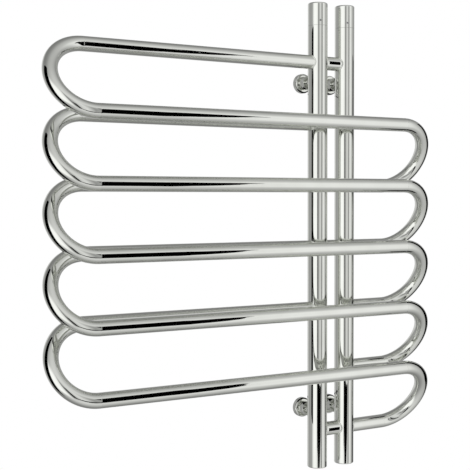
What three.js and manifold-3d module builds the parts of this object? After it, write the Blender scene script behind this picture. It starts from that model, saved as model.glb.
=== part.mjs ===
// Towel warmer rack for a hot-water line: two upright collectors joined by five looped tubes.
// Millimetres. +X is right as seen from the room, +Y goes into the wall and +Z is up.
// The origin is on the wall's surface, midway between the collectors and level with the middle bar.

import * as THREE from 'three';
import { mergeVertices } from 'three/addons/utils/BufferGeometryUtils.js';
import Module from 'manifold-3d';

// ---- Driving dimensions ----
const GAP = 0.3;                  // between pieces that are welded, screwed or seated together

const LOOPS = 5;                  // tubes that run from the left collector to the right one
const LEVELS = LOOPS + 2;         // heights at which a bar lies; level 1 is the top one
const LEVEL_PITCH = 100;
const BAR_R = 11;
const BAR_WALL = 1.5;
const BAR_LEFT_X = -436;          // where the straight bars end and the U bends begin
const BAR_RIGHT_X = 104;
const FRONT_OFFSET = 60;          // from the collectors' axes forward to the front bars' axes

const COLLECTOR_R = 16;
const COLLECTOR_WALL = 2;
const COLLECTOR_SPACING = 54;
const COLLECTOR_Y = -48;          // the collectors' axes stand this far off the wall
const COLLECTOR_TOP = 359;
const COLLECTOR_BOTTOM = -360;
const COLLECTOR_ROUNDING = 1.5;   // of the lower end's outer edge

const PORT_R = 9.7;               // half-inch pipe thread, drawn as a plain bore
const SOCKET_LENGTH = 15;
const PLUG_DEPTH = 12;            // of the end plug inside the collector
const SPIGOT_R = 12.7;            // the plug's upper part, which the cap sits over
const SPIGOT_HEIGHT = 13;

const CAP_HEIGHT = 37;
const CAP_ROUNDING = 2.5;
const CAP_BORE_R = SPIGOT_R + GAP;
const CAP_SCREW_R = 1.6;
const CAP_SCREW_HEX = 1.5;        // across the flats of its hexagonal recess
const CAP_SCREW_RECESS = 1;
const CAP_SCREW_SUNK = 0.2;       // below the cap's surface
const CAP_SCREW_HEIGHT = 7.5;     // above the cap's lower edge
const CAP_SCREW_TURN = 19;        // degrees from straight ahead towards the left

const SEAL_THICKNESS = 1.7;
const VENT_HEX = 21;              // across flats
const VENT_HEAD = 7;
const WATER_HOLE_R = 1.5;         // up through the vent to its needle
const BLEED_HOLE_R = 1;           // out through the side of the vent's head
const NEEDLE_R = 3;
const NEEDLE_LENGTH = 19;
const NEEDLE_RISE = 4;            // of the needle's head above the vent
const NEEDLE_SLOT = 1.2;
const NEEDLE_SLOT_DEPTH = 2.4;

const BRACKET_Z = 270;            // brackets are this far above and below the middle bar
const ROSETTE_R = 16;
const ROSETTE_THICKNESS = 9;
const ROSETTE_ROUNDING = 3;
const HOLDER_R = 11;
const HOLDER_LENGTH = 22;
const HOLDER_FLOOR = 3;
const WALL_SCREW_R = 2.75;
const COUNTERSINK = 2;            // of the wall screw's hole
const STEM_R = 7;
const STEM_CHAMFER = 1;
const STEM_END = 8;               // the stem's inner end stays this far off the wall
const GRUB_R = 2.2;
const GRUB_HEX = 2.5;             // across the flats of its hexagonal recess
const GRUB_RECESS = 1.5;
const GRUB_DISTANCE = 18.5;       // from the wall to the grub screw's axis

const TUBE_SIDES = 16;            // facets round a bar
const BORE_SIDES = 8;             // facets round a bar's bore
const TURNED_SIDES = 24;          // facets round collectors, caps and rosettes
const SMALL_SIDES = 16;           // facets round small turned pieces
const SCREW_SIDES = 12;           // facets round cap screws and grub screws
const HOLE_SIDES = 8;             // facets round small drilled holes
const BEND_STEPS = 10;            // steps in a half turn
const CORNER_STEPS = 2;           // steps in an edge's rounding
const OVERLAP = 1;                // of joined shapes, and of a cutting tool past the surface that it cuts
const MERGE_DISTANCE = 1e-4;      // within which a mesh's corners are the same corner

const LEFT_X = -COLLECTOR_SPACING / 2;
const RIGHT_X = COLLECTOR_SPACING / 2;
const FRONT_Y = COLLECTOR_Y - FRONT_OFFSET;
const levelZ = (level) => ((LEVELS + 1) / 2 - level) * LEVEL_PITCH;

// ---- Finishes ----
const finish = (color, roughness, metalness) => new THREE.MeshStandardMaterial({ color, roughness, metalness });
const polishedSteel = finish(0xd4d6d2, 0.08, 1);
const brass = finish(0xc9a553, 0.3, 1);
const darkSteel = finish(0x5a5c5e, 0.35, 1);
const rubber = finish(0x1c1c1c, 0.85, 0);

// ---- Joining and cutting ----
const wasm = await Module();
wasm.setup();

function toSolid(geometry) {
  const bare = geometry.clone();
  bare.deleteAttribute('normal');
  bare.deleteAttribute('uv');
  const merged = mergeVertices(bare, MERGE_DISTANCE);
  return new wasm.Manifold(new wasm.Mesh({
    numProp: 3,
    vertProperties: new Float32Array(merged.attributes.position.array),
    triVerts: new Uint32Array(merged.index.array),
  }));
}

function toGeometry(solid) {
  const mesh = solid.getMesh();
  const geometry = new THREE.BufferGeometry();
  geometry.setAttribute('position', new THREE.BufferAttribute(new Float32Array(mesh.vertProperties), 3));
  geometry.setIndex(new THREE.BufferAttribute(new Uint32Array(mesh.triVerts), 1));
  geometry.computeVertexNormals();
  return geometry;
}

function cut(geometry, ...tools) {
  const remaining = tools.reduce((solid, tool) => solid.subtract(toSolid(tool)), toSolid(geometry));
  return toGeometry(remaining);
}

// ---- Shapes ----
function polygon(radius, sides) {
  const corner = (i) => {
    const angle = (i * 2 * Math.PI) / sides;
    return new THREE.Vector2(radius * Math.cos(angle), radius * Math.sin(angle));
  };
  return Array.from({ length: sides }, (_, i) => corner(i));
}

function tubeAlong(curve, steps) {
  const section = new THREE.Shape(polygon(BAR_R, TUBE_SIDES));
  section.holes.push(new THREE.Path(polygon(BAR_R - BAR_WALL, BORE_SIDES)));
  return new THREE.ExtrudeGeometry(section, { steps, bevelEnabled: false, extrudePath: curve });
}

// A half turn from start to end that bulges to the left (side -1) or to the right (side 1).
class HalfTurn extends THREE.Curve {
  constructor(start, end, side) {
    super();
    this.centre = start.clone().add(end).multiplyScalar(0.5);
    this.arm = start.clone().sub(this.centre);
    this.bulge = new THREE.Vector3(side * this.arm.length(), 0, 0);
  }

  getPoint(t, target = new THREE.Vector3()) {
    return target.copy(this.centre)
      .addScaledVector(this.arm, Math.cos(Math.PI * t))
      .addScaledVector(this.bulge, Math.sin(Math.PI * t));
  }
}

// A round piece turned about an upright axis; the profile is a list of [radius, height].
function turnedUpright(profile, sides = TURNED_SIDES) {
  const points = profile.map(([radius, height]) => new THREE.Vector2(radius, height));
  const first = profile[0];
  const last = profile[profile.length - 1];
  const onAxis = first[0] === 0 && last[0] === 0;
  if (!onAxis) points.push(points[0].clone());
  return new THREE.LatheGeometry(points, sides).rotateX(Math.PI / 2);
}

// A round piece turned about an axis that points into the room; the profile is [radius, distance off the wall].
function turnedOutward(profile, sides = TURNED_SIDES) {
  return turnedUpright(profile, sides).rotateX(Math.PI / 2);
}

// The points of an outer edge's rounding, from the side to the end face; towards is 1 for an upper edge.
function roundedCorner(radius, height, rounding, towards) {
  return Array.from({ length: CORNER_STEPS + 1 }, (_, i) => {
    const angle = (i / CORNER_STEPS) * (Math.PI / 2);
    return [radius - rounding * (1 - Math.cos(angle)), height + towards * rounding * (Math.sin(angle) - 1)];
  });
}

const uprightRod = (radius, low, high, sides = TURNED_SIDES) =>
  turnedUpright([[0, low], [radius, low], [radius, high], [0, high]], sides);

const sidewaysRod = (radius, low, high, sides = SMALL_SIDES) =>
  uprightRod(radius, low, high, sides).rotateY(Math.PI / 2);

// The space that a collector takes up, with the gap that a coped tube keeps from it.
function collectorSpace(x, low, high) {
  const radius = (COLLECTOR_R + GAP) / Math.cos(Math.PI / TURNED_SIDES);
  return uprightRod(radius, low, high).translate(x, COLLECTOR_Y, 0);
}

function hexPrism(acrossFlats, depth) {
  const cornerR = acrossFlats / Math.sqrt(3);
  return new THREE.CylinderGeometry(cornerR, cornerR, depth, 6).rotateX(Math.PI / 2);
}

// ---- The object ----
const rack = new THREE.Group();

function add(name, geometry, material, place = [0, 0, 0], turnZ = 0) {
  const mesh = new THREE.Mesh(geometry, material);
  mesh.name = name;
  mesh.position.set(...place);
  mesh.rotation.z = turnZ;
  rack.add(mesh);
}

// ---- Collectors: upright tubes, drilled where the looped tubes open into them ----
const leftLevels = Array.from({ length: LOOPS }, (_, i) => i + 1);
const rightLevels = leftLevels.map((level) => level + 2);

function collector(side, levels) {
  const bore = COLLECTOR_R - COLLECTOR_WALL;
  const tube = turnedUpright([
    [bore, COLLECTOR_TOP],
    [bore, COLLECTOR_BOTTOM],
    ...roundedCorner(COLLECTOR_R, COLLECTOR_BOTTOM, COLLECTOR_ROUNDING, -1).reverse(),
    [COLLECTOR_R, COLLECTOR_TOP],
  ]);
  const waterway = (level) =>
    sidewaysRod(BAR_R - BAR_WALL, Math.min(0, side * 2 * COLLECTOR_R), Math.max(0, side * 2 * COLLECTOR_R))
      .translate(0, 0, levelZ(level));
  return cut(tube, ...levels.map(waterway));
}

add('left_collector', collector(-1, leftLevels), polishedSteel, [LEFT_X, COLLECTOR_Y, 0]);
add('right_collector', collector(1, rightLevels), polishedSteel, [RIGHT_X, COLLECTOR_Y, 0]);

// ---- Looped tubes: back bar, U bend, front bar, U bend and back bar, each a level lower ----
function straightBar(fromX, toX, y, z) {
  return tubeAlong(new THREE.LineCurve3(new THREE.Vector3(fromX, y, z), new THREE.Vector3(toX, y, z)), 1);
}

function copedBar(collectorX, endX, z) {
  const inside = collectorX + Math.sign(endX - collectorX) * (COLLECTOR_R / 2);
  const bar = straightBar(inside, endX, COLLECTOR_Y, z);
  return cut(bar, collectorSpace(collectorX, z - 2 * BAR_R, z + 2 * BAR_R));
}

function uBend(x, backZ, frontZ, side) {
  const back = new THREE.Vector3(x, COLLECTOR_Y, backZ);
  const front = new THREE.Vector3(x, FRONT_Y, frontZ);
  return tubeAlong(new HalfTurn(back, front, side), BEND_STEPS);
}

for (let loop = 1; loop <= LOOPS; loop += 1) {
  const [high, middle, low] = [levelZ(loop), levelZ(loop + 1), levelZ(loop + 2)];
  add(`left_bar_${loop}`, copedBar(LEFT_X, BAR_LEFT_X, high), polishedSteel);
  add(`left_bend_${loop}`, uBend(BAR_LEFT_X - GAP, high, middle, -1), polishedSteel);
  add(`front_bar_${loop}`, straightBar(BAR_LEFT_X, BAR_RIGHT_X, FRONT_Y, middle), polishedSteel);
  add(`right_bend_${loop}`, uBend(BAR_RIGHT_X + GAP, low, middle, 1), polishedSteel);
  add(`right_bar_${loop}`, copedBar(RIGHT_X, BAR_RIGHT_X, low), polishedSteel);
}

// ---- Links: short spacer tubes that tie the two collectors together ----
function link(z) {
  const bar = straightBar(LEFT_X + COLLECTOR_R / 2, RIGHT_X - COLLECTOR_R / 2, COLLECTOR_Y, z);
  const reach = 2 * BAR_R;
  return cut(bar, collectorSpace(LEFT_X, z - reach, z + reach), collectorSpace(RIGHT_X, z - reach, z + reach));
}

const linkLevels = { upper: 1, middle: (LEVELS + 1) / 2, lower: LEVELS };
for (const [place, level] of Object.entries(linkLevels)) {
  add(`${place}_link`, link(levelZ(level)), polishedSteel);
}

// ---- Lower ends: threaded sockets that take the water valves ----
function socket() {
  const outer = COLLECTOR_R - COLLECTOR_WALL - GAP;
  const top = COLLECTOR_BOTTOM + SOCKET_LENGTH;
  return turnedUpright([
    [PORT_R, COLLECTOR_BOTTOM], [outer, COLLECTOR_BOTTOM], [outer, top], [PORT_R, top],
  ]);
}

// ---- Upper ends: end plug, air vent with its seal and needle, and a cap held by a screw ----
const PLUG_TOP = COLLECTOR_TOP + SPIGOT_HEIGHT;
const SEAL_BASE = PLUG_TOP + GAP;
const HEAD_BASE = SEAL_BASE + SEAL_THICKNESS + GAP;
const HEAD_TOP = HEAD_BASE + VENT_HEAD;
const NEEDLE_TOP = HEAD_TOP + NEEDLE_RISE;
const NEEDLE_BASE = NEEDLE_TOP - NEEDLE_LENGTH;
const CAP_BASE = COLLECTOR_TOP + GAP;

function endPlug() {
  const outer = COLLECTOR_R - COLLECTOR_WALL - GAP;
  const base = COLLECTOR_TOP - PLUG_DEPTH;
  return turnedUpright([
    [PORT_R, base], [outer, base], [outer, COLLECTOR_TOP],
    [SPIGOT_R, COLLECTOR_TOP], [SPIGOT_R, PLUG_TOP], [PORT_R, PLUG_TOP],
  ]);
}

function seal() {
  const outer = VENT_HEX / 2;
  return turnedUpright([
    [PORT_R, SEAL_BASE], [outer, SEAL_BASE], [outer, SEAL_BASE + SEAL_THICKNESS],
    [PORT_R, SEAL_BASE + SEAL_THICKNESS],
  ], SMALL_SIDES);
}

function ventBody() {
  const shank = uprightRod(PORT_R - GAP, COLLECTOR_TOP, HEAD_BASE + OVERLAP, SMALL_SIDES);
  const head = hexPrism(VENT_HEX, VENT_HEAD).translate(0, 0, HEAD_BASE + VENT_HEAD / 2);
  const needleBore = uprightRod(NEEDLE_R + GAP, NEEDLE_BASE - GAP, HEAD_TOP + OVERLAP, SMALL_SIDES);
  const waterHole = uprightRod(WATER_HOLE_R, COLLECTOR_TOP - OVERLAP, NEEDLE_BASE, HOLE_SIDES);
  const bleedHole = sidewaysRod(BLEED_HOLE_R, 0, VENT_HEX, HOLE_SIDES).translate(0, 0, HEAD_BASE + VENT_HEAD / 2);
  const body = toSolid(shank).add(toSolid(head));
  return cut(toGeometry(body), needleBore, waterHole, bleedHole);
}

function needle() {
  const spindle = turnedUpright([
    [0, NEEDLE_BASE], [NEEDLE_R, NEEDLE_BASE + NEEDLE_R], [NEEDLE_R, NEEDLE_TOP], [0, NEEDLE_TOP],
  ], SMALL_SIDES);
  const slot = new THREE.BoxGeometry(3 * NEEDLE_R, NEEDLE_SLOT, 2 * NEEDLE_SLOT_DEPTH);
  return cut(spindle, slot.translate(0, 0, NEEDLE_TOP));
}

const screwDirection = -Math.PI / 2 - THREE.MathUtils.degToRad(CAP_SCREW_TURN);

function cap() {
  const top = CAP_BASE + CAP_HEIGHT;
  const ceiling = top - (COLLECTOR_R - CAP_BORE_R);
  const shell = turnedUpright([
    [0, ceiling], [CAP_BORE_R, ceiling], [CAP_BORE_R, CAP_BASE], [COLLECTOR_R, CAP_BASE],
    ...roundedCorner(COLLECTOR_R, top, CAP_ROUNDING, 1), [0, top],
  ]);
  const screwHole = sidewaysRod(CAP_SCREW_R + GAP, CAP_BORE_R / 2, 2 * COLLECTOR_R, HOLE_SIDES)
    .translate(0, 0, CAP_BASE + CAP_SCREW_HEIGHT).rotateZ(screwDirection);
  return cut(shell, screwHole);
}

function capScrew() {
  const [inner, outer] = [CAP_BORE_R, COLLECTOR_R - CAP_SCREW_SUNK];
  const recess = hexPrism(CAP_SCREW_HEX, 2 * CAP_SCREW_RECESS).rotateY(Math.PI / 2).translate(outer, 0, 0);
  return cut(sidewaysRod(CAP_SCREW_R, inner, outer, SCREW_SIDES), recess);
}

for (const [side, x] of [['left', LEFT_X], ['right', RIGHT_X]]) {
  const axis = [x, COLLECTOR_Y, 0];
  add(`${side}_socket`, socket(), polishedSteel, axis);
  add(`${side}_end_plug`, endPlug(), polishedSteel, axis);
  add(`${side}_vent_seal`, seal(), rubber, axis);
  add(`${side}_vent_body`, ventBody(), brass, axis);
  add(`${side}_vent_needle`, needle(), brass, axis);
  add(`${side}_cap`, cap(), polishedSteel, axis);
  const screwPlace = [x, COLLECTOR_Y, CAP_BASE + CAP_SCREW_HEIGHT];
  add(`${side}_cap_screw`, capScrew(), darkSteel, screwPlace, screwDirection);
}

// ---- Wall brackets: rosette, holder with its grub screw, and the stem welded to the collector ----
function rosette() {
  const bore = HOLDER_R + GAP;
  const front = roundedCorner(ROSETTE_R, ROSETTE_THICKNESS, ROSETTE_ROUNDING, 1);
  return turnedOutward([[bore, 0], [ROSETTE_R, 0], ...front, [bore, ROSETTE_THICKNESS]]);
}

function holder() {
  const bore = STEM_R + GAP;
  const body = turnedOutward([
    [WALL_SCREW_R, 0], [HOLDER_R, 0], [HOLDER_R, HOLDER_LENGTH], [bore, HOLDER_LENGTH],
    [bore, HOLDER_FLOOR], [WALL_SCREW_R + COUNTERSINK, HOLDER_FLOOR],
    [WALL_SCREW_R, HOLDER_FLOOR - COUNTERSINK],
  ], SMALL_SIDES);
  const grubHole = uprightRod(GRUB_R + GAP, -2 * HOLDER_R, 0, SCREW_SIDES).translate(0, -GRUB_DISTANCE, 0);
  return cut(body, grubHole);
}

function stem() {
  const reach = -COLLECTOR_Y - COLLECTOR_R / 2;
  const rod = turnedOutward([
    [0, STEM_END], [STEM_R - STEM_CHAMFER, STEM_END], [STEM_R, STEM_END + STEM_CHAMFER],
    [STEM_R, reach], [0, reach],
  ], SMALL_SIDES);
  return cut(rod, collectorSpace(0, -2 * STEM_R, 2 * STEM_R));
}

function grubScrew() {
  const [tip, head] = [-(STEM_R + GAP), -(HOLDER_R - GAP)];
  const recess = hexPrism(GRUB_HEX, 2 * GRUB_RECESS).translate(0, 0, head);
  return cut(uprightRod(GRUB_R, head, tip, SCREW_SIDES), recess);
}

for (const [height, z] of [['upper', BRACKET_Z], ['lower', -BRACKET_Z]]) {
  for (const [side, x] of [['left', LEFT_X], ['right', RIGHT_X]]) {
    const bracket = `${height}_${side}`;
    add(`${bracket}_rosette`, rosette(), polishedSteel, [x, 0, z]);
    add(`${bracket}_holder`, holder(), polishedSteel, [x, 0, z]);
    add(`${bracket}_stem`, stem(), polishedSteel, [x, 0, z]);
    add(`${bracket}_grub_screw`, grubScrew(), darkSteel, [x, -GRUB_DISTANCE, z]);
  }
}

export default rack;
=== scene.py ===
"""Towel warmer rack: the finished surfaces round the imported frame, in a plain pale studio.

Metres. +X is right as seen from the room, +Y goes into the wall and +Z is up. Each visible piece is a new
mesh that takes its place and size from the frame's nodes. Polished steel looks like what it mirrors, so the
last sections make the light and dark surroundings that the photograph's reflections ask for.
"""

import math

import bmesh
import bpy
from mathutils import Matrix, Vector


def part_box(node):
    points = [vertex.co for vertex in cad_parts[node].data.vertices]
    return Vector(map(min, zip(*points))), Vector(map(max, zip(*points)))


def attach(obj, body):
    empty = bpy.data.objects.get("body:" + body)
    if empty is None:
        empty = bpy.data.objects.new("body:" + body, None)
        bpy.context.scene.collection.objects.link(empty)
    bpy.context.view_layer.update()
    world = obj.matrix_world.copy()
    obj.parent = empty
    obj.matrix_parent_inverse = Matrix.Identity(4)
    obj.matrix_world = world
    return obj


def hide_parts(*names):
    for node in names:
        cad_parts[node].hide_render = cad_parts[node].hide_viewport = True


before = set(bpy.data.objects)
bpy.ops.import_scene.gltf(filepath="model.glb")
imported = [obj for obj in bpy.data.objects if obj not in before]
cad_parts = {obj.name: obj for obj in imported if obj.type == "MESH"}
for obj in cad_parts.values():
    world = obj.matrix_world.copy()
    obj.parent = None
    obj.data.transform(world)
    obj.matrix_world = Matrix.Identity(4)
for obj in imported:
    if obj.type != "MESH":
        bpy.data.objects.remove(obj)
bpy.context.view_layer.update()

MM = 0.001
LOOPS = 5
SIDES = ("left", "right")
BRACKETS = [f"{height}_{side}" for height in ("upper", "lower") for side in SIDES]

# ---- Facets: enough for a mirror finish ----
TUBE_SIDES = 72
TURNED_SIDES = 96
SMALL_SIDES = 48
BEND_STEPS = 48
BEAD_SIDES = 12
HEX_SIDES = 144
ARC_STEPS = 8                     # in a rounded edge, unless it is one of those below
LARGE_ARC_STEPS = 16
SMALL_ARC_STEPS = 4
JOINT_ARC_STEPS = 3
SEAL_ARC_STEPS = 10
SHARP_ANGLE = math.radians(35)
TURNED_FACE = 0.99                # cosine between a turned face's normal and its spoke, at least

# ---- Sizes that the frame doesn't hold ----
HALF_GAP = 0.15 * MM              # half the space that the frame leaves between touching pieces
SEAM_GAP = 0.01 * MM              # what is left of it here, so that two surfaces never coincide
BAR_WALL = 1.5 * MM
COLLECTOR_WALL = 2 * MM
COLLECTOR_FOOT_ROUNDING = 1.5 * MM
CAP_JOINT_BEVEL = 0.12 * MM       # on both edges of the fine line below a cap
SEAM_HEIGHT = 0.06 * MM           # of a polished butt weld above the tube
SEAM_HALF_WIDTH = 1.3 * MM
SEAM_STEPS = 6
BEAD_R = 1.1 * MM                 # of the weld round a bar where it meets a collector
BEAD_RIPPLE = 1.5 * MM
BEAD_SWELL = 0.05                 # of the bead's radius, at the top of a ripple
RIPPLE_STEPS = 6                  # of the bead's mesh in one ripple
THREAD_MAJOR_R = 10.48 * MM       # of a half-inch pipe thread
THREAD_MINOR_R = 9.32 * MM
THREAD_PITCH = 1.814 * MM
THREAD_ROWS = 10                  # of the mesh in one pitch
THREAD_SHARPNESS = 0.6            # 0 for a wave and 1 for a plain V
THREAD_LEAD_IN = 0.1 * MM         # of a thread's wide mouth past its major radius
SOCKET_CHAMFER = 0.8 * MM
SOCKET_BEVEL = 0.2 * MM
PLUG_BEVEL = 0.5 * MM
SPIGOT_R = 12.7 * MM
SEAL_OVERLAP = 1 * MM             # of the vent's seal past the edge of the hole that it covers
SHANK_CLEARANCE = 0.1 * MM
SHANK_CHAMFER = 0.8 * MM
SHANK_GAP = 0.3 * MM              # between the seal and the vent's hexagon
HEX_CHAMFER = math.radians(30)
HEX_TURNED_OFF = 0.2 * MM         # past the flats, where the hexagon's corners start to be turned off
HEX_UNDERCUT = 0.6 * MM
HEX_TOP_EDGE = 0.05 * MM
NEEDLE_BORE_R = 3.15 * MM
NEEDLE_BORE_BEVEL = 0.5 * MM
NEEDLE_BEVEL = 0.4 * MM
NEEDLE_SLOT_WIDTH = 1.2 * MM
NEEDLE_SLOT_DEPTH = 2.4 * MM
CAP_BORE_R = 13 * MM
CAP_CEILING_ROUNDING = 1 * MM
CAP_TOP_ROUNDING = 2.5 * MM
CAP_SCREW_R = 1.6 * MM
CAP_SCREW_CLEARANCE = 0.15 * MM
CAP_SCREW_FLATS = 1.5 * MM
SCREW_EDGE = 0.25 * MM            # of the bevel round a screw's head
SCREW_POINT = 2 * SCREW_EDGE      # of the bevel round its tip
SCREW_LIP = 0.3 * SCREW_EDGE      # of the bevel round its socket
SOCKET_DEPTH = 1.1                # of a hexagonal socket, in widths across its flats
ROSETTE_ROUNDING = 3 * MM
ROSETTE_BACK_BEVEL = 0.2 * MM
BRACKET_BEVEL = 0.3 * MM
STEM_CLEARANCE = 0.15 * MM
HOLDER_ROUNDING = 0.8 * MM
HOLDER_FLOOR = 3 * MM
STEM_CHAMFER = 0.8 * MM
WALL_SCREW_R = 2.75 * MM
COUNTERSINK = 2 * MM
COUNTERSINK_END = 1 * MM          # from the wall
GRUB_R = 2.2 * MM
GRUB_CLEARANCE = 0.1 * MM
GRUB_FLATS = 2.5 * MM
UP = Vector((0, 0, 1))
OUT_OF_WALL = Vector((0, -1, 0))


# ---- Meshes ----
def mark_hard_edges(bm):
    for edge in bm.edges:
        hard = len(edge.link_faces) == 2 and edge.calc_face_angle(0) > SHARP_ANGLE
        edge.smooth = not hard


def link_mesh(name, bm):
    """A new object in the scene from a bmesh."""
    mesh = bpy.data.meshes.new(name)
    bm.to_mesh(mesh)
    bm.free()
    obj = bpy.data.objects.new(name, mesh)
    bpy.context.scene.collection.objects.link(obj)
    return obj


def make_object(name, bm):
    """A mesh object from a bmesh, smooth all over but for its hard edges. Its normals are weighted by the
    size of the faces, so that a small rounded end doesn't bend the reflections in the face beside it."""
    bmesh.ops.recalc_face_normals(bm, faces=bm.faces)
    for face in bm.faces:
        face.smooth = True
    mark_hard_edges(bm)
    obj = link_mesh(name, bm)
    weighting = obj.modifiers.new("weighted_normals", "WEIGHTED_NORMAL")
    weighting.keep_sharp = True
    return obj


def loft(rings, closed):
    """A bmesh skin over rings of points. Closed joins the last ring to the first. Otherwise the first and
    the last are capped."""
    bm = bmesh.new()
    rows = [[bm.verts.new(point) for point in ring] for ring in rings]
    count = len(rows[0])
    pairs = list(zip(rows, rows[1:]))
    if closed:
        pairs.append((rows[-1], rows[0]))
    for lower, upper in pairs:
        for i in range(count):
            j = (i + 1) % count
            bm.faces.new((lower[i], lower[j], upper[j], upper[i]))
    if not closed:
        bm.faces.new(rows[0])
        bm.faces.new(rows[-1])
    return bm


def circle(sides):
    """Unit directions round a circle, as (cosine, sine)."""
    angles = [2 * math.pi * i / sides for i in range(sides)]
    return [(math.cos(angle), math.sin(angle)) for angle in angles]


def lathe(profile, place, axis="Z", sides=TURNED_SIDES):
    """A bmesh turned about an axis through place. The profile is a closed outline of (radius, distance along
    the axis). Axis "Z" is up and "-Y" is out of the wall. A radius of 0 closes the piece on its axis."""
    bm = bmesh.new()

    def point(radius, along, c, s):
        if axis == "Z":
            return place + Vector((radius * c, radius * s, along))
        return place + Vector((radius * c, -along, radius * s))

    columns = []
    for radius, along in profile:
        if radius == 0:
            apex = bm.verts.new(point(0, along, 1, 0))
            columns.append([apex] * sides)
        else:
            columns.append([bm.verts.new(point(radius, along, c, s)) for c, s in circle(sides)])
    for lower, upper in zip(columns, columns[1:] + columns[:1]):
        for i in range(sides):
            j = (i + 1) % sides
            corners = []
            for vert in (lower[i], lower[j], upper[j], upper[i]):
                if vert not in corners:
                    corners.append(vert)
            if len(corners) > 2:
                bm.faces.new(corners)
    return bm


def arc(centre_r, centre_along, radius, start, end, steps=ARC_STEPS):
    """Profile points on an arc, with angles in degrees from straight outwards to the axis's positive end."""
    points = []
    for i in range(steps + 1):
        angle = math.radians(start + (end - start) * i / steps)
        points.append((centre_r + radius * math.cos(angle), centre_along + radius * math.sin(angle)))
    return points


def subtract(obj, cutter):
    """Cuts one object from another, and removes the cutter."""
    modifier = obj.modifiers.new("cut", "BOOLEAN")
    modifier.object = cutter
    modifier.operation = "DIFFERENCE"
    modifier.solver = "EXACT"
    bpy.context.view_layer.update()
    evaluated = obj.evaluated_get(bpy.context.evaluated_depsgraph_get())
    obj.data = bpy.data.meshes.new_from_object(evaluated)
    obj.modifiers.clear()
    bpy.data.objects.remove(cutter)


def bore_hole(obj, start, end, radius, axis_point, axis):
    """Drills a round hole from start to end, and keeps the turned surface smooth where it was cut. The axis
    is the turned piece's own."""
    along = (end - start).normalized()
    side = along.orthogonal().normalized()
    up = along.cross(side)
    rings = [[p + radius * (c * side + s * up) for c, s in circle(SMALL_SIDES)] for p in (start, end)]
    subtract(obj, make_object("drill", loft(rings, closed=False)))

    def spoke(point):
        offset = point - axis_point
        return (offset - offset.dot(axis) * axis).normalized()

    mesh = obj.data
    normals = [corner.vector.copy() for corner in mesh.corner_normals]
    for polygon in mesh.polygons:
        if spoke(polygon.center).dot(polygon.normal) < TURNED_FACE:
            continue
        for i in polygon.loop_indices:
            normals[i] = spoke(mesh.vertices[mesh.loops[i].vertex_index].co)
    mesh.normals_split_custom_set(normals)


def cut_slot(obj, centre, size):
    """Cuts a box from a piece, and marks the hard edges that it leaves."""
    box = bmesh.new()
    bmesh.ops.create_cube(box, size=1)
    place = Matrix.Translation(centre) @ Matrix.Diagonal((*size, 1))
    bmesh.ops.transform(box, matrix=place, verts=box.verts)
    subtract(obj, make_object("slot_cutter", box))
    bm = bmesh.new()
    bm.from_mesh(obj.data)
    mark_hard_edges(bm)
    bm.to_mesh(obj.data)
    bm.free()


def finish_piece(obj, node, body, material):
    """Rides the piece on its body, hides the CAD node that it stands for and gives it its material."""
    obj.data.materials.append(material)
    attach(obj, body)
    if node:
        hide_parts(node)


# ---- Materials ----
def color_ramp(tree, value, stops):
    """A ramp driven by value. Each stop is (position, colour)."""
    node = tree.nodes.new("ShaderNodeValToRGB")
    elements = node.color_ramp.elements
    while len(elements) < len(stops):
        elements.new(0.5)
    for element, (position, color) in zip(elements, stops):
        element.position = position
        element.color = (*color, 1)
    tree.links.new(value, node.inputs["Fac"])
    return node.outputs["Color"]


class Shader:
    """A node material: a Principled shader with procedural detail, in the object's own coordinates."""

    def __init__(self, name, color, metallic, roughness):
        self.material = bpy.data.materials.new(name)
        self.material.use_nodes = True
        self.tree = self.material.node_tree
        self.nodes, self.links = self.tree.nodes, self.tree.links
        self.shader = self.nodes["Principled BSDF"]
        self.shader.inputs["Base Color"].default_value = (*color, 1)
        self.shader.inputs["Metallic"].default_value = metallic
        self.shader.inputs["Roughness"].default_value = roughness
        self.coordinates = self.nodes.new("ShaderNodeTexCoord")

    def noise(self, scale, detail=3.0, stretch=(1, 1, 1)):
        mapping = self.nodes.new("ShaderNodeMapping")
        mapping.inputs["Scale"].default_value = stretch
        self.links.new(self.coordinates.outputs["Object"], mapping.inputs["Vector"])
        node = self.nodes.new("ShaderNodeTexNoise")
        node.inputs["Scale"].default_value = scale
        node.inputs["Detail"].default_value = detail
        self.links.new(mapping.outputs["Vector"], node.inputs["Vector"])
        return node.outputs["Fac"]

    def color(self, value, *stops):
        """Drives the base colour with a ramp over value."""
        self.drive("Base Color", color_ramp(self.tree, value, stops))

    def spread(self, value, low, high):
        """The value, which runs from 0 to 1, mapped to run from low to high."""
        node = self.nodes.new("ShaderNodeMapRange")
        node.inputs["To Min"].default_value = low
        node.inputs["To Max"].default_value = high
        self.links.new(value, node.inputs["Value"])
        return node.outputs["Result"]

    def add(self, first, second):
        node = self.nodes.new("ShaderNodeMath")
        node.operation = "ADD"
        self.links.new(first, node.inputs[0])
        self.links.new(second, node.inputs[1])
        return node.outputs["Value"]

    def drive(self, socket, value):
        self.links.new(value, self.shader.inputs[socket])

    def bump(self, height, distance, strength):
        node = self.nodes.new("ShaderNodeBump")
        node.inputs["Distance"].default_value = distance
        node.inputs["Strength"].default_value = strength
        self.links.new(height, node.inputs["Height"])
        self.links.new(node.outputs["Normal"], self.shader.inputs["Normal"])


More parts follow.
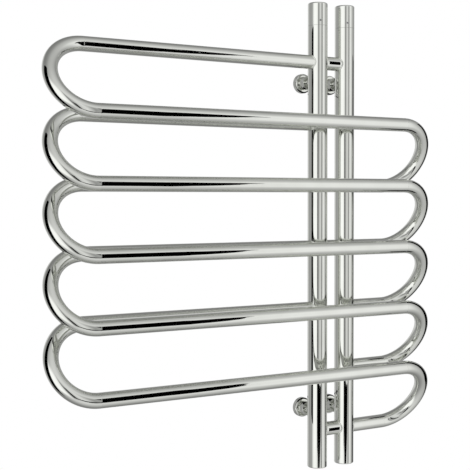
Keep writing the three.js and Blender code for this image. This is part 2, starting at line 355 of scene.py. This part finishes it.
def polished_steel(name, grain):
    """Mirror-polished stainless tube: faint smears and fine polishing lines along the grain."""
    steel = Shader(name, (0.83, 0.84, 0.82), metallic=1, roughness=0.05)
    smears = steel.noise(scale=26, detail=4)
    steel.color(smears, (0.3, (0.80, 0.812, 0.768)), (0.7, (0.845, 0.858, 0.818)))
    lines = steel.noise(scale=900, detail=2, stretch=grain)
    smear_gloss, line_gloss = steel.spread(smears, 0.01, 0.035), steel.spread(lines, 0, 0.012)
    steel.drive("Roughness", steel.add(smear_gloss, line_gloss))
    steel.bump(lines, distance=0.01 * MM, strength=0.05)
    return steel.material


def turned_brass():
    """Brass as turned: fine lines round the axis and a little tarnish."""
    brass = Shader("turned_brass", (0.79, 0.65, 0.33), metallic=1, roughness=0.28)
    tarnish = brass.noise(scale=160, detail=5)
    brass.color(tarnish, (0.3, (0.62, 0.47, 0.20)), (0.65, (0.82, 0.68, 0.36)))
    lines = brass.noise(scale=1500, detail=2, stretch=(0.05, 0.05, 1))
    brass.drive("Roughness", brass.spread(lines, 0.2, 0.4))
    brass.bump(lines, distance=0.04 * MM, strength=0.25)
    return brass.material


def hardened_steel():
    """The duller steel of the small screws."""
    screw = Shader("hardened_steel", (0.3, 0.305, 0.31), metallic=1, roughness=0.35)
    wear = screw.noise(scale=900, detail=4)
    screw.color(wear, (0.35, (0.44, 0.44, 0.445)), (0.7, (0.62, 0.625, 0.63)))
    screw.drive("Roughness", screw.spread(wear, 0.28, 0.5))
    screw.bump(wear, distance=0.02 * MM, strength=0.3)
    return screw.material


def moulded_rubber():
    rubber = Shader("moulded_rubber", (0.03, 0.03, 0.03), metallic=0, roughness=0.7)
    grain = rubber.noise(scale=1200, detail=4)
    rubber.color(grain, (0.3, (0.02, 0.02, 0.02)), (0.7, (0.045, 0.045, 0.045)))
    rubber.drive("Roughness", rubber.spread(grain, 0.6, 0.85))
    rubber.bump(grain, distance=0.05 * MM, strength=0.4)
    return rubber.material


BAR_STEEL = polished_steel("bar_steel", grain=(0.02, 1, 1))
UPRIGHT_STEEL = polished_steel("upright_steel", grain=(1, 1, 0.02))
BRACKET_STEEL = polished_steel("bracket_steel", grain=(1, 0.05, 1))
BRASS = turned_brass()
SCREW_STEEL = hardened_steel()
RUBBER = moulded_rubber()


# ---- Places from the frame ----
def middle(node):
    low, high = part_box(node)
    return (low + high) / 2


def half_size(node):
    low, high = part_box(node)
    return (high - low) / 2


def outermost(node, start, direction):
    """How far a frame node reaches from start in a direction."""
    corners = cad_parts[node].data.vertices
    return max((corner.co - start).dot(direction) for corner in corners)


COLLECTOR_X = {side: middle(f"{side}_collector").x for side in SIDES}
COLLECTOR_Y = middle("left_collector").y
COLLECTOR_R = half_size("left_collector").x
BAR_R = half_size("front_bar_1").z
SIGN = {"left": -1, "right": 1}   # of x, away from between the collectors
PLUG_R = COLLECTOR_R - COLLECTOR_WALL - SEAM_GAP


def collector_axis(side):
    return Vector((COLLECTOR_X[side], COLLECTOR_Y, 0))


# ---- Bars, bends and links ----
def seam_rise(distance):
    """How far a butt weld stands up at this distance from the joint."""
    if distance >= SEAM_HALF_WIDTH:
        return 0
    return SEAM_HEIGHT * (1 + math.cos(math.pi * distance / SEAM_HALF_WIDTH)) / 2


SEAM_DISTANCES = [SEAM_HALF_WIDTH * i / SEAM_STEPS for i in range(SEAM_STEPS + 1)]


def saddle(collector_x, sign, radius, c):
    """X where a line along the bar meets the collector's surface, from the line's place round the bar."""
    return collector_x + sign * math.sqrt(COLLECTOR_R**2 - (radius * c) ** 2)


def bar_ring(x_at, y, z, radius):
    return [Vector((x_at(c), y + radius * c, z + radius * s)) for c, s in circle(TUBE_SIDES)]


def tube_bar(stations, y, z, bore):
    """A hollow bar along X. Each station is (function from the section's cosine and radius to x, radius)."""
    outer = [bar_ring(lambda c, x_at=x_at, r=r: x_at(c, r), y, z, r) for x_at, r in stations]
    inner = [bar_ring(lambda c, x_at=x_at: x_at(c, bore), y, z, bore) for x_at, r in reversed(stations)]
    return loft(outer + inner, closed=True)


def flat(x):
    """A station that is cut square."""
    return lambda c, radius: x


def coped(collector_x, sign):
    """A station that is cut to sit on a collector."""
    return lambda c, radius: saddle(collector_x, sign, radius, c)


def seam_stations(end, inward):
    """Stations from a bar's welded end inwards; inward is the sign of x away from the weld."""
    return [(flat(end + inward * d), BAR_R + seam_rise(d)) for d in SEAM_DISTANCES]


def finish_bar(node, bm):
    finish_piece(make_object(f"{node}_tube", bm), node, "rack", BAR_STEEL)


def back_bar(side, loop):
    """A bar in the collectors' plane: coped to its collector, butt-welded to its bend."""
    node = f"{side}_bar_{loop}"
    low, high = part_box(node)
    y, z = middle(node).y, middle(node).z
    sign = SIGN[side]
    end = (low.x if side == "left" else high.x) + sign * (HALF_GAP - SEAM_GAP)
    stations = [(coped(COLLECTOR_X[side], sign), BAR_R)] + seam_stations(end, -sign)[::-1]
    finish_bar(node, tube_bar(stations, y, z, BAR_R - BAR_WALL))
    bar_bead(f"{node}_weld", COLLECTOR_X[side], sign, y, z)


def front_bar(loop):
    node = f"front_bar_{loop}"
    low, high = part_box(node)
    y, z = middle(node).y, middle(node).z
    reach = HALF_GAP - SEAM_GAP
    stations = seam_stations(low.x - reach, 1) + seam_stations(high.x + reach, -1)[::-1]
    finish_bar(node, tube_bar(stations, y, z, BAR_R - BAR_WALL))


def bend(side, loop):
    """A half turn from a loop's back bar down to its front bar on the left, and up to it on the right."""
    node = f"{side}_bend_{loop}"
    back, front = middle(f"{side}_bar_{loop}"), middle(f"front_bar_{loop}")
    low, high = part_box(f"front_bar_{loop}")
    sign = SIGN[side]
    x = (low.x if side == "left" else high.x) + sign * (HALF_GAP + SEAM_GAP)
    start, end = Vector((x, back.y, back.z)), Vector((x, front.y, front.z))
    centre = (start + end) / 2
    bend_r = (start - centre).length
    arm, bulge = (start - centre).normalized(), Vector((sign, 0, 0))
    normal = arm.cross(bulge)
    length = math.pi * bend_r
    seam = [d / length for d in SEAM_DISTANCES]
    first, last = seam[-1], 1 - seam[-1]
    between = [first + (last - first) * i / BEND_STEPS for i in range(1, BEND_STEPS)]
    turns = seam + between + [1 - t for t in reversed(seam)]

    def ring(t, radius):
        outward = (arm * math.cos(math.pi * t) + bulge * math.sin(math.pi * t)).normalized()
        point = centre + outward * bend_r
        return [point + radius * (c * normal + s * outward) for c, s in circle(TUBE_SIDES)]

    outer = [ring(t, BAR_R + seam_rise(min(t, 1 - t) * length)) for t in turns]
    inner = [ring(t, BAR_R - BAR_WALL) for t in reversed(turns)]
    finish_bar(node, loft(outer + inner, closed=True))


def weld_bead(name, line, collector_x):
    """A rippled weld bead along a closed line on a collector's surface."""
    steps = len(line)
    rings = []
    for i, point in enumerate(line):
        along = (line[(i + 1) % steps] - line[i - 1]).normalized()
        out = Vector((point.x - collector_x, point.y - COLLECTOR_Y, 0)).normalized()
        across = along.cross(out).normalized()
        radius = BEAD_R * (1 + BEAD_SWELL * math.cos(2 * math.pi * i / RIPPLE_STEPS))
        rings.append([point + radius * (c * out + s * across) for c, s in circle(BEAD_SIDES)])
    obj = make_object(name, loft(rings, closed=True))
    finish_piece(obj, None, "rack", BAR_STEEL)


def bead_steps(radius):
    """Steps round a bead, for a whole number of ripples."""
    return round(2 * math.pi * radius / BEAD_RIPPLE) * RIPPLE_STEPS


def bar_bead(name, collector_x, sign, y, z):
    """The bead along the line where a bar meets a collector."""
    line = [
        Vector((saddle(collector_x, sign, BAR_R, c), y + BAR_R * c, z + BAR_R * s))
        for c, s in circle(bead_steps(BAR_R))
    ]
    weld_bead(name, line, collector_x)


def link(place):
    """A short tube between the collectors, coped at both ends."""
    node = f"{place}_link"
    y, z = middle(node).y, middle(node).z
    left, right = COLLECTOR_X["left"], COLLECTOR_X["right"]
    stations = [(coped(left, 1), BAR_R), (coped(right, -1), BAR_R)]
    finish_bar(node, tube_bar(stations, y, z, BAR_R - BAR_WALL))
    bar_bead(f"{node}_left_weld", left, 1, y, z)
    bar_bead(f"{node}_right_weld", right, -1, y, z)


for loop in range(1, LOOPS + 1):
    for side in SIDES:
        back_bar(side, loop)
        bend(side, loop)
    front_bar(loop)
for place in ("upper", "middle", "lower"):
    link(place)


# ---- Collectors ----
def collector(side):
    node = f"{side}_collector"
    low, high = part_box(node)
    bore, foot, bevel = COLLECTOR_R - COLLECTOR_WALL, COLLECTOR_FOOT_ROUNDING, CAP_JOINT_BEVEL
    top = high.z + HALF_GAP
    profile = [(bore, top), (bore, low.z)]
    profile += arc(COLLECTOR_R - foot, low.z + foot, foot, -90, 0)
    profile += arc(COLLECTOR_R - bevel, top - bevel, bevel, 0, 90, JOINT_ARC_STEPS)
    obj = make_object(f"{node}_tube", lathe(profile, collector_axis(side)))
    finish_piece(obj, node, "rack", UPRIGHT_STEEL)


for side in SIDES:
    collector(side)


# ---- Screws ----
def hex_reach(across_flats, c, s):
    """Distance from the middle of a hexagon to its side, in the direction (c, s)."""
    from_flat = math.atan2(s, c) % (math.pi / 3) - math.pi / 6
    return across_flats / 2 / math.cos(from_flat)


def socket_screw(name, node, body, tip, head, radius, across_flats):
    """A headless screw with a hexagonal socket in its outer end."""
    along = (head - tip).normalized()
    side = along.orthogonal().normalized()
    up = along.cross(side)
    point, edge, lip = SCREW_POINT, SCREW_EDGE, SCREW_LIP
    depth = SOCKET_DEPTH * across_flats

    def ring(place, reach):
        return [place + reach(c, s) * (c * side + s * up) for c, s in circle(SMALL_SIDES)]

    def round_ring(place, r):
        return ring(place, lambda c, s: r)

    def hex_ring(place, flats):
        return ring(place, lambda c, s: hex_reach(flats, c, s))

    rings = [
        round_ring(tip, radius - point), round_ring(tip + point * along, radius),
        round_ring(head - edge * along, radius), round_ring(head, radius - edge),
        hex_ring(head, across_flats + 2 * lip), hex_ring(head - lip * along, across_flats),
        hex_ring(head - depth * along, across_flats),
    ]
    finish_piece(make_object(name, loft(rings, closed=False)), node, body, SCREW_STEEL)


# ---- Lower ends: threaded sockets ----
def thread_radius(phase):
    """Of a half-inch pipe thread at a fraction of its pitch, with rounded crests and roots."""
    plain = 1 - abs(2 * (phase % 1) - 1)
    wave = (1 - math.cos(math.pi * plain)) / 2
    height = THREAD_SHARPNESS * plain + (1 - THREAD_SHARPNESS) * wave
    return THREAD_MINOR_R + (THREAD_MAJOR_R - THREAD_MINOR_R) * height


def socket(side):
    """A ring with an inside thread, flush with the collector's lower end."""
    node = f"{side}_socket"
    low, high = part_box(node)
    axis = collector_axis(side)
    rows = round((high.z - low.z) / THREAD_PITCH * THREAD_ROWS)

    def ring(radius_at, z):
        points = []
        for i, (c, s) in enumerate(circle(TURNED_SIDES)):
            radius = radius_at(i / TURNED_SIDES, z)
            points.append(axis + Vector((radius * c, radius * s, z)))
        return points

    def plain(radius, z):
        return ring(lambda turn, z: radius, z)

    def threaded(turn, z):
        opening = THREAD_MAJOR_R + THREAD_LEAD_IN - min(z - low.z, high.z - z)
        return max(thread_radius(z / THREAD_PITCH - turn), opening)

    rings = [
        plain(PLUG_R - SOCKET_BEVEL, low.z), plain(PLUG_R, low.z + SOCKET_BEVEL),
        plain(PLUG_R, high.z), plain(THREAD_MAJOR_R + SOCKET_CHAMFER, high.z),
    ]
    rings += [ring(threaded, high.z - (high.z - low.z) * i / rows) for i in range(rows + 1)]
    obj = make_object(f"{node}_ring", loft(rings, closed=True))
    finish_piece(obj, node, "rack", UPRIGHT_STEEL)


# ---- Upper ends: end plug, vent and cap ----
def end_plug(side):
    """A plug in the collector's upper end, with a spigot that the cap slips over."""
    node = f"{side}_end_plug"
    low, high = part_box(node)
    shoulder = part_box(f"{side}_collector")[1].z
    profile = [(THREAD_MAJOR_R, low.z), (PLUG_R, low.z)]
    profile += arc(PLUG_R - PLUG_BEVEL, shoulder - PLUG_BEVEL, PLUG_BEVEL, 0, 90, SMALL_ARC_STEPS)
    profile += [(SPIGOT_R, shoulder)]
    profile += arc(SPIGOT_R - PLUG_BEVEL, high.z - PLUG_BEVEL, PLUG_BEVEL, 0, 90, SMALL_ARC_STEPS)
    profile += [(THREAD_MAJOR_R, high.z)]
    obj = make_object(f"{node}_spigot", lathe(profile, collector_axis(side)))
    finish_piece(obj, node, "rack", UPRIGHT_STEEL)


def vent_seal(side):
    """A rubber ring under the vent, with a round outer edge."""
    node = f"{side}_vent_seal"
    low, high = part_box(node)
    edge_r = (high.z - low.z) / 2
    bore = THREAD_MAJOR_R - SEAL_OVERLAP
    profile = [(bore, low.z)]
    profile += arc(half_size(node).x - edge_r, low.z + edge_r, edge_r, -90, 90, SEAL_ARC_STEPS)
    profile += [(bore, high.z)]
    obj = make_object(f"{node}_ring", lathe(profile, collector_axis(side)))
    finish_piece(obj, node, "rack", RUBBER)


def vent_body(side):
    """A brass vent: a plain round shank, and a hexagon with its upper and lower corners turned off."""
    node = f"{side}_vent_body"
    low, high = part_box(node)
    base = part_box(f"{side}_vent_seal")[1].z + SHANK_GAP
    axis = collector_axis(side)
    flats = 2 * min(half_size(node).x, half_size(node).y)
    turned_off = flats / 2 + HEX_TURNED_OFF
    slope = math.tan(HEX_CHAMFER)
    shank, bore = THREAD_MINOR_R - SHANK_CLEARANCE, NEEDLE_BORE_R

    def ring(reach, height):
        points = []
        for c, s in circle(HEX_SIDES):
            r = reach(c, s)
            points.append(axis + Vector((r * c, r * s, height(r))))
        return points

    def plain(radius, z):
        return ring(lambda c, s: radius, lambda r: z)

    def hexagon(c, s):
        return hex_reach(flats, c, s)

    rings = [
        plain(bore, low.z), plain(shank - SHANK_CHAMFER, low.z),
        plain(shank, low.z + SHANK_CHAMFER), plain(shank, base),
        plain(turned_off - HEX_UNDERCUT, base),
        ring(hexagon, lambda r: base + max(0, r - turned_off) * slope),
        ring(hexagon, lambda r: high.z - max(0, r - turned_off) * slope - HEX_TOP_EDGE),
        ring(lambda c, s: min(hexagon(c, s), turned_off), lambda r: high.z),
        plain(flats / 3, high.z), plain(bore + NEEDLE_BORE_BEVEL, high.z),
        plain(bore, high.z - NEEDLE_BORE_BEVEL),
    ]
    obj = make_object(f"{node}_hex", loft(rings, closed=True))
    finish_piece(obj, node, "rack", BRASS)


def vent_needle(side):
    """A spindle in the vent, with a cone at its tip and a slot across its head."""
    node = f"{side}_vent_needle"
    low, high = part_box(node)
    axis = collector_axis(side)
    radius = half_size(node).x
    profile = [(0, low.z), (radius, low.z + radius)]
    profile += arc(radius - NEEDLE_BEVEL, high.z - NEEDLE_BEVEL, NEEDLE_BEVEL, 0, 90, SMALL_ARC_STEPS)
    profile += [(0, high.z)]
    obj = make_object(f"{node}_spindle", lathe(profile, axis, sides=SMALL_SIDES))
    cut_slot(obj, axis + high.z * UP, (3 * radius, NEEDLE_SLOT_WIDTH, 2 * NEEDLE_SLOT_DEPTH))
    finish_piece(obj, node, f"{side}_vent_needle", BRASS)


def cap(side):
    """A cap over the end plug, and the small screw in its side that holds it."""
    node, screw = f"{side}_cap", f"{side}_cap_screw"
    low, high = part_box(node)
    axis = collector_axis(side)
    bevel, inside, rounding = CAP_JOINT_BEVEL, CAP_CEILING_ROUNDING, CAP_TOP_ROUNDING
    ceiling = high.z - (COLLECTOR_R - CAP_BORE_R)
    profile = [(0, ceiling)]
    profile += arc(CAP_BORE_R - inside, ceiling - inside, inside, 90, 0, SMALL_ARC_STEPS)
    profile += [(CAP_BORE_R, low.z + bevel), (CAP_BORE_R + bevel, low.z), (COLLECTOR_R - bevel, low.z)]
    profile += [(COLLECTOR_R, low.z + bevel)]
    profile += arc(COLLECTOR_R - rounding, high.z - rounding, rounding, 0, 90, LARGE_ARC_STEPS)
    profile += [(0, high.z)]
    obj = make_object(f"{node}_shell", lathe(profile, axis))
    spot = middle(screw)
    out = Vector((spot.x - axis.x, spot.y - axis.y, 0)).normalized()
    centre = Vector((axis.x, axis.y, spot.z))
    start, end = centre + CAP_BORE_R / 2 * out, centre + 2 * COLLECTOR_R * out
    bore_hole(obj, start, end, CAP_SCREW_R + CAP_SCREW_CLEARANCE, axis, UP)
    finish_piece(obj, node, f"{side}_cap", UPRIGHT_STEEL)
    tip, head = centre + CAP_BORE_R * out, centre + outermost(screw, centre, out) * out
    socket_screw(f"{screw}_hex", screw, f"{side}_cap", tip, head, CAP_SCREW_R, CAP_SCREW_FLATS)


# ---- Wall brackets ----
def rosette(name, axis):
    """A round cover plate flat on the wall, open in the middle for the holder."""
    node = f"{name}_rosette"
    radius, depth, rounding = half_size(node).x, -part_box(node)[0].y, ROSETTE_ROUNDING
    bore = half_size(f"{name}_holder").x + SEAM_GAP
    profile = [(bore, 0), (radius - ROSETTE_BACK_BEVEL, 0), (radius, ROSETTE_BACK_BEVEL)]
    profile += arc(radius - rounding, depth - rounding, rounding, 0, 90, LARGE_ARC_STEPS)
    profile += [(bore - SEAM_GAP + BRACKET_BEVEL, depth), (bore, depth - BRACKET_BEVEL)]
    obj = make_object(f"{node}_ring", lathe(profile, axis, "-Y"))
    finish_piece(obj, node, "wall_fixings", BRACKET_STEEL)


def holder(name, axis):
    """A sleeve screwed to the wall, which takes the stem, and the grub screw that clamps it from below."""
    node, grub = f"{name}_holder", f"{name}_grub_screw"
    radius, depth, rounding = half_size(node).x, -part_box(node)[0].y, HOLDER_ROUNDING
    bore = half_size(f"{name}_stem").x + STEM_CLEARANCE
    profile = [(WALL_SCREW_R, 0), (radius, 0)]
    profile += arc(radius - rounding, depth - rounding, rounding, 0, 90)
    profile += [(bore + BRACKET_BEVEL, depth), (bore, depth - BRACKET_BEVEL), (bore, HOLDER_FLOOR)]
    profile += [(WALL_SCREW_R + COUNTERSINK, HOLDER_FLOOR), (WALL_SCREW_R, COUNTERSINK_END)]
    obj = make_object(f"{node}_sleeve", lathe(profile, axis, "-Y"))
    grub_low, grub_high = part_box(grub)
    on_axis = Vector((axis.x, middle(grub).y, axis.z))
    start, end = on_axis - bore / 2 * UP, on_axis - 2 * radius * UP
    bore_hole(obj, start, end, GRUB_R + GRUB_CLEARANCE, axis, OUT_OF_WALL)
    finish_piece(obj, node, "wall_fixings", BRACKET_STEEL)
    tip, head = Vector((*on_axis.xy, grub_high.z)), Vector((*on_axis.xy, grub_low.z))
    socket_screw(f"{grub}_hex", grub, "wall_fixings", tip, head, GRUB_R, GRUB_FLATS)


def stem(name, axis):
    """A rod from the holder to the collector's back, coped and welded there."""
    node = f"{name}_stem"
    radius, end = half_size(node).x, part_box(node)[1].y

    def around(r, y_at, sides=TURNED_SIDES):
        return [Vector((axis.x + r * c, y_at(r * c), axis.z + r * s)) for c, s in circle(sides)]

    def on_collector(offset):
        return COLLECTOR_Y + math.sqrt(COLLECTOR_R**2 - offset**2)

    rings = [
        around(radius - STEM_CHAMFER, lambda offset: end), around(radius, lambda offset: end - STEM_CHAMFER),
        around(radius, on_collector),
    ]
    obj = make_object(f"{node}_rod", loft(rings, closed=False))
    finish_piece(obj, node, "rack", BRACKET_STEEL)
    weld_bead(f"{node}_weld", around(radius, on_collector, bead_steps(radius)), axis.x)


def bracket(name):
    side = name.split("_")[1]
    axis = Vector((COLLECTOR_X[side], 0, middle(f"{name}_holder").z))
    rosette(name, axis)
    holder(name, axis)
    stem(name, axis)


for side in SIDES:
    socket(side)
    end_plug(side)
    vent_seal(side)
    vent_body(side)
    vent_needle(side)
    cap(side)
for name in BRACKETS:
    bracket(name)


# ---- Room: what the polished steel mirrors from afar ----
# Brightness of the room, from straight into the wall (-1) to straight out of it (1)
ROOM_LEVELS = (
    (-1, 0.5), (-0.93, 0.42), (-0.82, 0.22), (-0.3, 0.25), (0, 0.34),
    (0.2, 0.46), (0.4, 0.56), (0.57, 0.66), (0.8, 0.78),
)
# Brightness at eye level by direction: degrees from straight out of the wall, with + to the right
EYE_LEVELS = (
    (-180, 0.65), (-164, 0.65), (-150, 0.36), (-100, 0.38), (-86, 0.85), (-75, 1.12), (-50, 1.12),
    (-34, 0.9), (-28, 0.22), (-24, 0.3), (-20, 0.40), (-8, 0.72), (0, 0.80), (7, 0.60), (14, 0.34),
    (21, 0.40), (29, 0.86), (36, 0.94), (46, 0.86), (58, 0.66), (72, 0.46), (92, 0.36), (150, 0.36),
    (164, 0.65), (180, 0.65),
)
# Degrees above or below eye level, where it starts to fade into the room and where it has faded
EYE_FADE = (18, 42)


def shader_node(tree, kind, **settings):
    """A shader node with its properties set."""
    node = tree.nodes.new(kind)
    for key, value in settings.items():
        setattr(node, key, value)
    return node


def grey_ramp(tree, value, stops):
    return color_ramp(tree, value, [(position, (level, level, level)) for position, level in stops])


def build_world():
    """White to the camera. To the object it is a pale room, with softboxes at eye level, left and right."""
    world = bpy.data.worlds.new("studio")
    bpy.context.scene.world = world
    world.use_nodes = True
    tree = world.node_tree
    join = tree.links.new
    direction = shader_node(tree, "ShaderNodeTexCoord").outputs["Generated"]
    split = shader_node(tree, "ShaderNodeSeparateXYZ")
    join(direction, split.inputs[0])

    def math_node(operation, *values):
        node = shader_node(tree, "ShaderNodeMath", operation=operation)
        for socket, value in zip(node.inputs, values):
            if isinstance(value, (int, float)):
                socket.default_value = value
            else:
                join(value, socket)
        return node.outputs[0]

    toward_room = math_node("MULTIPLY", split.outputs["Y"], -1)
    facing = math_node("MULTIPLY_ADD", toward_room, 0.5, 0.5)
    room = grey_ramp(tree, facing, [((f + 1) / 2, level) for f, level in ROOM_LEVELS])
    azimuth = math_node("ARCTAN2", split.outputs["X"], toward_room)
    turn = math_node("MULTIPLY_ADD", azimuth, 1 / (2 * math.pi), 0.5)
    eye_level = grey_ramp(tree, turn, [((a + 180) / 360, level) for a, level in EYE_LEVELS])
    height = math_node("ABSOLUTE", split.outputs["Z"])
    fade = shader_node(tree, "ShaderNodeMapRange", interpolation_type="SMOOTHSTEP")
    for socket, degrees in zip(("From Min", "From Max"), EYE_FADE):
        fade.inputs[socket].default_value = math.sin(math.radians(degrees))
    join(height, fade.inputs["Value"])
    mix = shader_node(tree, "ShaderNodeMix", data_type="RGBA")
    join(fade.outputs["Result"], mix.inputs["Factor"])
    join(eye_level, mix.inputs["A"])
    join(room, mix.inputs["B"])
    studio = tree.nodes["Background"]
    join(mix.outputs["Result"], studio.inputs["Color"])
    backdrop = shader_node(tree, "ShaderNodeBackground")
    backdrop.inputs["Color"].default_value = (1, 1, 1, 1)
    rays = shader_node(tree, "ShaderNodeLightPath")
    choice = shader_node(tree, "ShaderNodeMixShader")
    join(rays.outputs["Is Camera Ray"], choice.inputs["Fac"])
    join(studio.outputs[0], choice.inputs[1])
    join(backdrop.outputs[0], choice.inputs[2])
    join(choice.outputs[0], tree.nodes["World Output"].inputs["Surface"])


build_world()

# ---- Cards: what the polished steel mirrors from nearby ----
CAMERA_PLACE = Vector((-0.98594, -1.41246, 0.08165))
BLACK = 0
NEARLY_BLACK = 0.03
# Two standing flags across the front, edge-on from the collectors, draw the long dark bands in the bars.
# Each is turned so many degrees from straight out of the wall, and has (distance, low z, high z) along it.
NEAR_FLAG_TURN, FAR_FLAG_TURN = 17.2, 26
NEAR_FLAG = (
    (1.2, -0.72, 0.60), (1.6, -0.92, 0.80), (2.2, -1.25, 1.12), (3.0, -1.65, 1.55), (7.0, -3.8, 3.55),
)
FAR_FLAG = (
    (1.42, 0.47, 0.56), (1.75, 0.48, 0.74), (2.1, 0.44, 0.95), (2.3, 0.30, 1.0), (2.6, 0.05, 1.15),
    (2.9, -0.5, 1.25), (3.05, -1.2, 1.35), (3.6, -1.8, 1.65), (6, -3.0, 2.7),
)
# A standing flag in front of the rack and lower than it, in (x, z), draws the dark wedges at the
# collectors' lower ends
LOW_FLAG_Y = -1.3
LOW_FLAG = (
    (-0.86, -0.455), (0.20, -0.455), (0.10, -0.60), (-0.10, -0.68),
    (-0.32, -0.76), (-0.60, -0.70), (-0.78, -0.62),
)
# Standing cards: (x, y) of the near edge, (x, y) of the far edge, and the low and high z of each
LEFT_FLAG = (-0.90, -0.135), (-1.60, 0.48), (-0.48, 0.50), (-0.62, 0.61)      # left of the rack
BEND_FLAG = (-0.66, -0.10), (-0.76, 0.12), (-0.42, 0.455), (-0.42, 0.47)      # beside the left bends
CAMERA_STAND = (-1.08, -1.45), (-0.84, -1.45), (-0.75, 0.30), (-0.75, 0.30)   # just behind the camera
EDGE_FLAG = (0.47, -0.18), (0.47, 0.0), (-0.50, 0.38), (-0.50, 0.36)          # right of the rack
# A small card in front of each link that is open to view, where its mirror image falls on the link alone
LINK_CARD_TURN = math.radians(36)
LINK_CARD_AWAY, LINK_CARD_HALF_WIDTH, LINK_CARD_HALF_HEIGHT = 1.8 * MM, 11 * MM, 3.7 * MM
# A dark shelf below each upper bracket and above each lower one, mirrored in their edges
SHELF_AWAY, SHELF_HALF_WIDTH = 18.5 * MM, 20 * MM
SHELF_BACK, SHELF_FRONT = -2 * MM, -18 * MM


def card(name, corners, level):
    """A flat card, seen only in reflections. Corners run round its outline."""
    bm = bmesh.new()
    bm.faces.new([bm.verts.new(corner) for corner in corners])
    bmesh.ops.triangulate(bm, faces=bm.faces)
    obj = link_mesh(name, bm)
    material = bpy.data.materials.new(name)
    material.use_nodes = True
    tree = material.node_tree
    tree.nodes.clear()
    glow = shader_node(tree, "ShaderNodeEmission")
    glow.inputs["Color"].default_value = (level, level, level, 1)
    output = shader_node(tree, "ShaderNodeOutputMaterial")
    tree.links.new(glow.outputs[0], output.inputs["Surface"])
    obj.data.materials.append(material)
    obj.visible_camera = False
    obj.visible_diffuse = False
    obj.visible_shadow = False


def edge_on_flag(name, degrees, line):
    """A standing strip straight away from between the collectors, along (distance, low z, high z) points."""
    angle = math.radians(degrees)

    def place(distance, z):
        return Vector((distance * math.sin(angle), COLLECTOR_Y - distance * math.cos(angle), z))

    for i, ((near, near_low, near_high), (far, far_low, far_high)) in enumerate(zip(line, line[1:])):
        corners = [place(near, near_low), place(far, far_low), place(far, far_high), place(near, near_high)]
        card(f"{name}_{i}", corners, BLACK)


def upright_card(name, near, far, near_z, far_z, level=BLACK):
    """A standing card between two places in plan, each with its own low and high z."""
    corners = [(*near, near_z[0]), (*far, far_z[0]), (*far, far_z[1]), (*near, near_z[1])]
    card(name, [Vector(corner) for corner in corners], level)


def link_card(place):
    spot = middle(f"{place}_link") - Vector((0, BAR_R, 0))
    slope = (spot.z - CAMERA_PLACE.z) / (spot.xy - CAMERA_PLACE.xy).length
    reach = LINK_CARD_AWAY / math.cos(LINK_CARD_TURN)
    centre = spot + reach * Vector((math.sin(LINK_CARD_TURN), -math.cos(LINK_CARD_TURN), slope))
    across, rise = Vector((LINK_CARD_HALF_WIDTH, 0, 0)), LINK_CARD_HALF_HEIGHT * UP
    lower, upper = centre - rise, centre + rise
    card(f"{place}_link_card", [lower - across, lower + across, upper + across, upper - across], BLACK)


def bracket_shelf(name):
    spot = middle(f"{name}_holder")
    z = spot.z - SHELF_AWAY if name.startswith("upper") else spot.z + SHELF_AWAY
    left, right = spot.x - SHELF_HALF_WIDTH, spot.x + SHELF_HALF_WIDTH
    outline = ((left, SHELF_BACK), (right, SHELF_BACK), (right, SHELF_FRONT), (left, SHELF_FRONT))
    card(f"{name}_shelf", [Vector((x, y, z)) for x, y in outline], BLACK)


edge_on_flag("near_flag", NEAR_FLAG_TURN, NEAR_FLAG)
edge_on_flag("far_flag", FAR_FLAG_TURN, FAR_FLAG)
upright_card("left_flag", *LEFT_FLAG)
upright_card("bend_flag", *BEND_FLAG)
upright_card("camera_stand", *CAMERA_STAND, NEARLY_BLACK)
upright_card("edge_flag", *EDGE_FLAG)
for place in ("upper", "lower"):
    link_card(place)
for name in BRACKETS:
    bracket_shelf(name)
card("low_flag", [Vector((x, LOW_FLAG_Y, z)) for x, z in LOW_FLAG], BLACK)

# ---- Floor and light ----
FLOOR_PLACE = Vector((-0.16, -0.06, -0.70))
FLOOR_R = 1.0
LIGHT_PLACE = (-0.3, -1.2, 1.6)
LIGHT_TILT = math.radians(35)
LIGHT_SIZE = 1.6
LIGHT_POWER = 75


def floor():
    """A pale disc below the rack, out of the camera's view and out of the steel's reflections."""
    bm = bmesh.new()
    bm.faces.new([bm.verts.new(FLOOR_PLACE + FLOOR_R * Vector((c, s, 0))) for c, s in circle(TURNED_SIDES)])
    obj = link_mesh("floor", bm)
    matt = Shader("pale_floor", (0.82, 0.82, 0.81), metallic=0, roughness=0.6)
    matt.color(matt.noise(scale=60), (0.3, (0.83, 0.83, 0.82)), (0.7, (0.85, 0.85, 0.84)))
    obj.data.materials.append(matt.material)
    obj.visible_glossy = False


def overhead_light():
    """A large soft light above and in front, which the polished steel doesn't mirror."""
    data = bpy.data.lights.new("overhead", "AREA")
    data.shape = "SQUARE"
    data.size = LIGHT_SIZE
    data.energy = LIGHT_POWER
    obj = bpy.data.objects.new("overhead", data)
    obj.location = LIGHT_PLACE
    obj.rotation_euler = (LIGHT_TILT, 0, 0)
    obj.visible_glossy = False
    obj.visible_camera = False
    bpy.context.scene.collection.objects.link(obj)


floor()
overhead_light()

# ---- Camera ----
CAMERA_YAW = math.radians(30.47)
CAMERA_TILT = math.radians(-1.06)
CAMERA_LENS = 78
CAMERA_SENSOR = 36
CAMERA_SHIFT = -0.041


def add_camera():
    data = bpy.data.cameras.new("camera")
    data.lens = CAMERA_LENS
    data.sensor_width = CAMERA_SENSOR
    data.shift_y = CAMERA_SHIFT
    obj = bpy.data.objects.new("camera", data)
    obj.location = CAMERA_PLACE
    obj.rotation_euler = (math.pi / 2 + CAMERA_TILT, 0, -CAMERA_YAW)
    bpy.context.scene.collection.objects.link(obj)
    bpy.context.scene.camera = obj


add_camera()
bpy.context.scene.view_settings.view_transform = "Standard"
